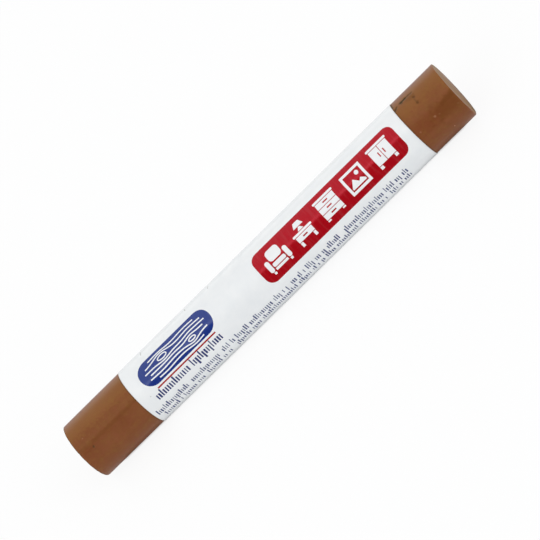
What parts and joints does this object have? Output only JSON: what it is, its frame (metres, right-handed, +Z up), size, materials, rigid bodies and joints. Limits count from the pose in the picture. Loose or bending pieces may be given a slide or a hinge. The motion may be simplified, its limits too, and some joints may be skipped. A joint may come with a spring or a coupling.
{
  "type": "furniture repair wax stick",
  "caption": "Solid round stick of brown filler wax in a wrapped and lapped label, bare at both ends, rubbed into scratches and gouges to repair furniture.",
  "frame": {"origin": "on the resting plane under the middle of the stick, at the bottom centre of its box", "axes": "+X along the stick from its foot end to its head end, +Z up, -Y towards the side that the label's printed front leans to"},
  "size_m": [0.0996, 0.0128, 0.0129],
  "materials": {
    "wax": "soft satin brown wax",
    "adhesive": "clear tacky coat",
    "film": "semi-gloss white printed film"
  },
  "bodies": {
    "root": {"wax_stick": "wax", "label_adhesive": "adhesive", "label_film": "film"}
  },
  "joints": []
}
